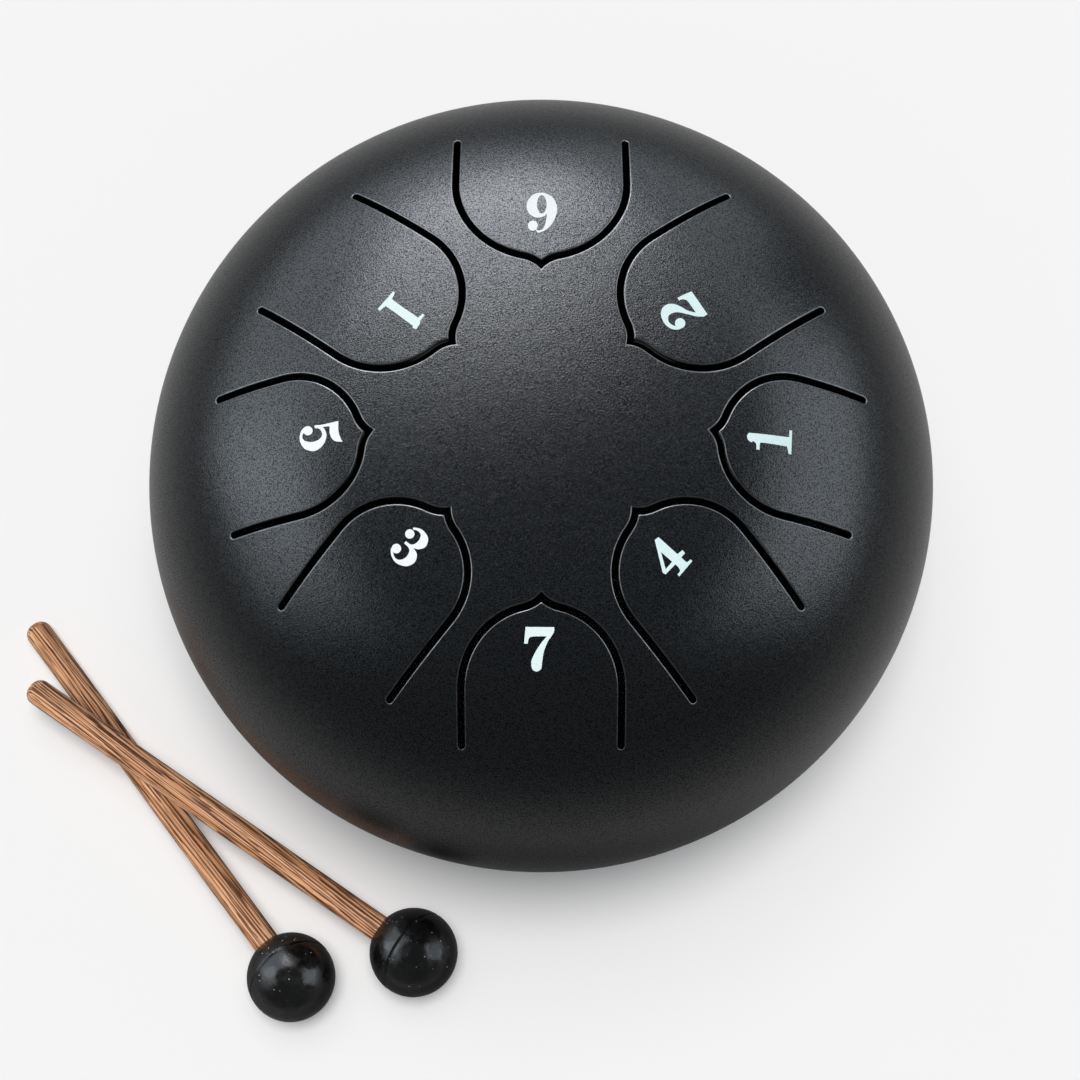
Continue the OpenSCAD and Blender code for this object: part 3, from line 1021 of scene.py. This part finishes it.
RIGHT_ONE = [(-20, 1007), (34, 983), (60, 915), (115, 172), (152, 115), corner(280, 127), corner(284, 70),
             corner(-245, -11), corner(-245, 50), (-103, 111), (-93, 172), (-113, 651), (-154, 700),
             corner(-280, 685), corner(-286, 753), (-164, 783), corner(-109, 858), (-144, 889), (-103, 970)]
FOUR = [corner(-133, 997), corner(-21, 1011), corner(152, 437), corner(304, 457), corner(319, 366),
        corner(188, 325), (233, 182), (274, 158), corner(355, 172), corner(376, 121), corner(-82, -32),
        corner(-93, 30), (0, 70), (13, 152), corner(-15, 258), corner(-337, 172), corner(-372, 243)]
FOUR_EYE = [corner(-154, 681), corner(-48, 349), corner(-270, 278)]
SEVEN = [corner(-327, 1007), corner(366, 1001), (359, 895), (294, 783), (203, 651), (111, 417), (70, 172),
         (50, 40), (-62, -25), (-164, 30), (-188, 142), (-175, 250), (-82, 437), (50, 630),
         corner(186, 787), (-174, 779), (-252, 722), corner(-276, 616), corner(-364, 620)]
THREE = [(-256, 905), (-113, 997), (30, 1011), (203, 946), (288, 763), (213, 610), corner(91, 535),
         (254, 478), (345, 304), (274, 111), (111, 9), (-52, -11), (-215, 50), (-327, 172),
         corner(-215, 121), (-113, 66), (-11, 70), (70, 152), (101, 284), (60, 417), (-32, 467),
         corner(-164, 471), corner(-164, 539), (-21, 559), (46, 651), (54, 783), (0, 895), (-93, 922),
         (-184, 895), corner(-205, 865)]
FIVE = [corner(-347, 987), (-93, 962), (80, 991), corner(186, 1032), (162, 875), (91, 787), (-52, 742),
        corner(-239, 759), corner(-235, 580), (-154, 636), (-11, 655), (172, 584), (311, 427), (341, 264),
        (254, 80), (91, -7), (-72, -7), (-235, 70), (-300, 203), corner(-154, 111), (-82, 62), (9, 66),
        (80, 142), (111, 284), (80, 437), (0, 535), (-93, 551), (-184, 514), (-219, 457), (-221, 406),
        (-260, 386), (-300, 406), (-296, 580)]
LEFT_ONE = [corner(-229, 983), (-52, 972), (0, 1001), corner(156, 1001), corner(182, 915), corner(135, 895),
            (111, 172), (148, 95), corner(284, 50), corner(274, -15), corner(-286, 54), corner(-266, 111),
            corner(-150, 127), (-103, 192), (-93, 840), (-117, 893), corner(-235, 922)]


@dataclass
class Figure:
    """A vinyl figure: where it is, how it is turned and sheared, its outlines and its round ends."""
    name: str
    place: tuple
    leans: tuple
    size: tuple
    film: bpy.types.Material
    outline: list
    eye: list = ()
    ends: list = ()

    def placed(self, across, up):
        """A point of the figure in the drum's plan. Its top points to the drum's axis."""
        bearing, distance = self.place
        upright_lean, width_lean = self.leans
        height, width = self.size
        upwards = polar(height, bearing + 180 + upright_lean) * (up / 1000 - 0.5)
        sideways = polar(width, bearing + 90 + width_lean) * across / 1000
        return polar(distance, bearing) + upwards + sideways


FIGURES = [
    # name, bearing and distance, leans, height and width, film, outline, eye, round ends
    Figure("six", (89.8, 37.53), (0.2, 0.2), (8.44, 7.16), white_vinyl, SIX, SIX_EYE, [(233, 828, 126)]),
    Figure("two", (35.02, 30.97), (1.1, -4.2), (7.63, 7.41), mint_vinyl, TWO, (), [(-194, 685, 130)]),
    Figure("right_one", (-7.6, 41.18), (0.8, -4.4), (8.32, 8.39), mint_vinyl, RIGHT_ONE),
    Figure("four", (-50.04, 35.26), (-8.8, -8.2), (7.39, 7.53), mint_vinyl, FOUR, FOUR_EYE),
    Figure("seven", (-90.5, 43.37), (0.5, 0.5), (7.24, 7.21), pale_vinyl, SEVEN),
    Figure("three", (-132.05, 34.4), (-0.3, -0.5), (7.1, 7.25), white_vinyl, THREE, (),
           [(-215, 732, 116), (-219, 247, 118)]),
    Figure("five", (-172.6, 39.68), (-4.6, 0.2), (7.31, 7.36), white_vinyl, FIVE, (), [(-184, 213, 116)]),
    Figure("left_one", (144.31, 30.82), (-1.4, 3.9), (8.12, 7.87), pale_vinyl, LEFT_ONE),
]
print("points in each outline:", [len(figure.outline) for figure in FIGURES])

# %% [markdown]
# Cutting the films
#
# A plotter cuts the figures out of a thin film, about a tenth of a millimetre. Here each outline is
# turned into a flat mesh with extra points inside, so that it can follow the dome, and walls are
# added along its border. The walls reach a little into the coat, so that no light shows under the film.

# %% Films
CURVE_STEPS = 5
FILM_T = 0.09
FILM_SUNK = 0.03
FILM_GRID = 0.45
FILM_GRID_STEPS = 12
ROUND_END_POINTS = 24


def curve(points):
    """A closed curve through the points, smooth in all of them but the corners."""
    result = []
    count = len(points)
    for number in range(count):
        before, start, end, after = (points[(number + shift) % count] for shift in (-1, 0, 1, 2))
        first, last = Vector(start[:2]), Vector(end[:2])
        leaving = (last - first) if len(start) > 2 else (last - Vector(before[:2])) / 2
        arriving = (last - first) if len(end) > 2 else (Vector(after[:2]) - first) / 2
        for step in range(CURVE_STEPS):
            t = step / CURVE_STEPS
            bend = leaving * (t * (1 - t) ** 2) - arriving * (t * t * (1 - t))
            result.append(first.lerp(last, t * t * (3 - 2 * t)) + bend)
    return result


def film(figure):
    loops = [curve(figure.outline)]
    for x, y, radius in figure.ends:
        loops.append([Vector((x, y)) + spot for spot in circle(radius, ROUND_END_POINTS)])
    solid_loops = set(range(len(loops)))
    if figure.eye:
        loops.append(curve(figure.eye))
    points, rings = gathered([[figure.placed(*spot) for spot in loop] for loop in loops])
    middle = figure.placed(0, 500)
    steps = range(-FILM_GRID_STEPS, FILM_GRID_STEPS + 1)
    points.extend(middle + Vector((FILM_GRID * x, FILM_GRID * y)) for x in steps for y in steps)
    spots, found, _, owners = filled(points, rings)
    kept = [face for face, owner in zip(found, owners) if owner & solid_loops and not owner - solid_loops]
    top = [lifted(spot, -FILM_T) for spot in spots]
    foot = [lifted(spot, FILM_SUNK) for spot in spots]
    edges = {(face[n], face[(n + 1) % 3]) for face in kept for n in range(3)}
    border = [(a, b) for a, b in edges if (b, a) not in edges]
    count = len(spots)
    walls = [(b, a, a + count, b + count) for a, b in sorted(border)]
    under = [[number + count for number in reversed(face)] for face in kept]
    return make_piece("figure_" + figure.name, top + foot, kept + walls + under, figure.film, SHARP_ANGLE)


for figure in FIGURES:
    film_piece = film(figure)
    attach(film_piece, "drum")
    print(film_piece.name, len(film_piece.data.polygons), "faces")

# %% [markdown]
# The ground
#
# The drum stands on a white ground, but the photo was retouched: the drum reflects a dimmer ground
# than the one that is seen. So there are two in the same place. The white one isn't seen in
# reflections, and the dim one, which is darkest under the drum's front, is seen only there. A white
# backdrop, which sends no light to anything, closes the view behind the ground.

# %% Grounds and backdrop
# The ground glows faintly: painted light that lightens the shadows on it.
GROUND_GLOW = 0.13
GROUND_HALF = 3000.0
MOTTLE_MM = 60.0
NEAR_TONE, FAR_TONE, SHADE_TONE = 0.42, 0.24, 0.11
NEAR_R, FAR_R = 109.0, 578.0
SHADE_PLACE = (-10.0, -57.0)
SHADE_R, SHADE_END_R = 50.0, 116.0
BACKDROP_R, BACKDROP_H, BACKDROP_SKIRT = 2900.0, 3000.0, 50.0
BACKDROP_TONE = 0.912
GROUND_CORNERS = [(x * GROUND_HALF, y * GROUND_HALF, 0) for x, y in ((-1, -1), (1, -1), (1, 1), (-1, 1))]


def ground_finish():
    finish = Finish("Ground")
    colour = finish.mix(finish.noise(MOTTLE_MM), grey(0.82), grey(0.83))
    return finish.surface(colour, 0.8, shine=0.0, power=GROUND_GLOW)


def glowing(finish, colour):
    """Ends a finish that sends out light and reflects none."""
    return finish.surface(grey(0.0), 1.0, shine=0.0, glow=colour, power=1.0)


# The dim ground glows instead of being lit. It is a painted reflection of the ground, with a painted pool
# of light near the drum that fades further out, and a painted shadow under the drum's front.
def reflected_finish():
    finish = Finish("Reflected ground")

    def distance(x_mm, y_mm):
        inputs = {0: finish.where, 1: (x_mm * MM, y_mm * MM, 0.0)}
        away = finish.node("ShaderNodeVectorMath", {"operation": "SUBTRACT"}, inputs)
        return finish.node("ShaderNodeVectorMath", {"operation": "LENGTH"}, {0: away}, output="Value")

    far = distance(0.0, 0.0).above(NEAR_R * MM, FAR_R * MM)
    clear = distance(*SHADE_PLACE).above(SHADE_R * MM, SHADE_END_R * MM)
    lit = finish.mix(far, grey(NEAR_TONE), grey(FAR_TONE))
    return glowing(finish, finish.mix(clear, grey(SHADE_TONE), lit))


def seen_only_by(piece, rays):
    for kind in ("camera", "diffuse", "glossy", "transmission", "volume_scatter", "shadow"):
        setattr(piece, "visible_" + kind, kind == rays)


square = [(0, 1, 2, 3)]
ground = make_piece("ground", GROUND_CORNERS, square, ground_finish())
ground.visible_glossy = False
reflected = make_piece("reflected_ground", GROUND_CORNERS, square, reflected_finish())
seen_only_by(reflected, "glossy")
wall = [(BACKDROP_R, -BACKDROP_SKIRT), (BACKDROP_R, BACKDROP_H), (0, BACKDROP_H)]
backdrop = turned_piece("backdrop", wall, glowing(Finish("Backdrop"), grey(BACKDROP_TONE)))
seen_only_by(backdrop, "camera")
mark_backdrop(ground, reflected, backdrop)
print(f"ground {2 * GROUND_HALF * MM} m wide")

# %% [markdown]
# The lights
#
# A bright softbox stands behind the drum, a wide and dimmer one behind its left, one behind its
# right, and one on each side. Together they give the three broad highlights on the shoulder. They
# light only the shells, the rubber and the metal, because in the photo the ground, sticks and figures
# are more evenly lit. So the sticks and figures have an even light from the left, and the ground has
# two soft lights, one overhead and one from behind, which leave a shadow that is dark only close
# under the rim. The world adds a faint light from all sides.

# %% Room and linked pieces
ROOM_LIGHT = 0.175
ROOM_COLOUR = (0.84, 0.94, 1.0)
world = bpy.data.worlds.new("Room")
world.use_nodes = True
background = world.node_tree.nodes["Background"]
background.inputs["Color"].default_value = full(ROOM_COLOUR)
background.inputs["Strength"].default_value = ROOM_LIGHT
scene.world = world

on_ground = bpy.data.collections.new("Lit by the ground lights")
on_ground.objects.link(ground)
on_pale_pieces = bpy.data.collections.new("Lit by the even light")
on_dark_pieces = bpy.data.collections.new("Lit by the softboxes")
for piece in scene.objects:
    if piece.type == "MESH" and not piece.get("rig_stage"):
        pale = piece.name.endswith("_wood") or piece.name.startswith("figure_")
        (on_pale_pieces if pale else on_dark_pieces).objects.link(piece)

# %% Softboxes
SOFTBOX_DISTANCE = 1.4
COOL_WHITE = (0.93, 0.95, 1.0)
SKY_WHITE = (0.85, 0.93, 1.0)
SOFTBOXES = [
    # name, direction, elevation, width, height, radiance, colour
    ("Back softbox", 99, 45.5, 0.66, 1.00, 6.6, COOL_WHITE),
    ("Back left softbox", 134, 34, 2.60, 1.50, 1.80, SKY_WHITE),
    ("Back right softbox", 70, 28, 0.95, 1.30, 1.35, SKY_WHITE),
    ("Left softbox", 183, 34, 1.00, 1.05, 1.70, SKY_WHITE),
    ("Right softbox", 7, 32, 1.39, 1.15, 2.30, SKY_WHITE),
]


def add_light(name, kind, colour, receivers):
    lamp = add_object(name, bpy.data.lights.new(name, kind))
    lamp.data.color = colour
    lamp.light_linking.receiver_collection = receivers
    return lamp


def softbox(name, direction, elevation, width, height, radiance, colour):
    """A softbox that points at the drum. Its radiance is what each part of it sends out."""
    lamp = add_light(name, "AREA", colour, on_dark_pieces)
    lamp.data.shape = "RECTANGLE"
    lamp.data.size = width
    lamp.data.size_y = height
    lamp.data.energy = radiance * pi * width * height
    tilt = radians(elevation)
    lamp.location = (*polar(SOFTBOX_DISTANCE * cos(tilt), direction), SOFTBOX_DISTANCE * sin(tilt))
    lamp.rotation_euler = (-lamp.location).to_track_quat("-Z", "Y").to_euler()


for settings in SOFTBOXES:
    softbox(*settings)
print("softboxes:", len(SOFTBOXES))

# %% Far lights
WARM_WHITE = (1.0, 0.98, 0.97)
FAR_LIGHTS = [
    # name, direction, elevation, angle that it fills, strength, what it lights
    ("Ground light", 76, 87.8, 24, 1.86, on_ground),
    ("Wide ground light", 98, 75, 46, 0.71, on_ground),
    ("Even light", 190, 74, 50, 3.2, on_pale_pieces),
]


def far_light(name, direction, elevation, width, strength, receivers):
    """A light without falloff. The wider the angle that it fills, the softer its shadows."""
    lamp = add_light(name, "SUN", WARM_WHITE, receivers)
    lamp.data.energy = strength
    lamp.data.angle = radians(width)
    lamp.rotation_euler = (0.0, radians(90 - elevation), radians(direction))


for settings in FAR_LIGHTS:
    far_light(*settings)
print("far lights:", len(FAR_LIGHTS))

# %% [markdown]
# The camera
#
# The photo was taken from above and a little in front, with a fairly long lens. The figures are
# seen almost flat, and the front of the shoulder is seen in profile.

# %% Camera
CAMERA_PLACE = (-0.225, -116.45, 455.3)
CAMERA_TILT = 14.15
camera = add_object("Camera", bpy.data.cameras.new("Camera"))
camera.data.sensor_width = 36.0
camera.data.lens = 71.6
camera.data.clip_start = 0.01
camera.location = Vector(CAMERA_PLACE) * MM
camera.rotation_euler = (radians(CAMERA_TILT), 0.0, 0.0)
scene.camera = camera
scene.view_settings.view_transform = "Standard"
print("camera at", CAMERA_PLACE, "mm")

# %% [markdown]
# The end
#
# The solid model and what is shown fill the same box to within 0.05 mm.

# %% Finish
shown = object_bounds()
for title, box in (("solid model:", cad_box), ("shown model:", shown)):
    print(title, [tuple(round(side / MM, 2) for side in spot) for spot in box])
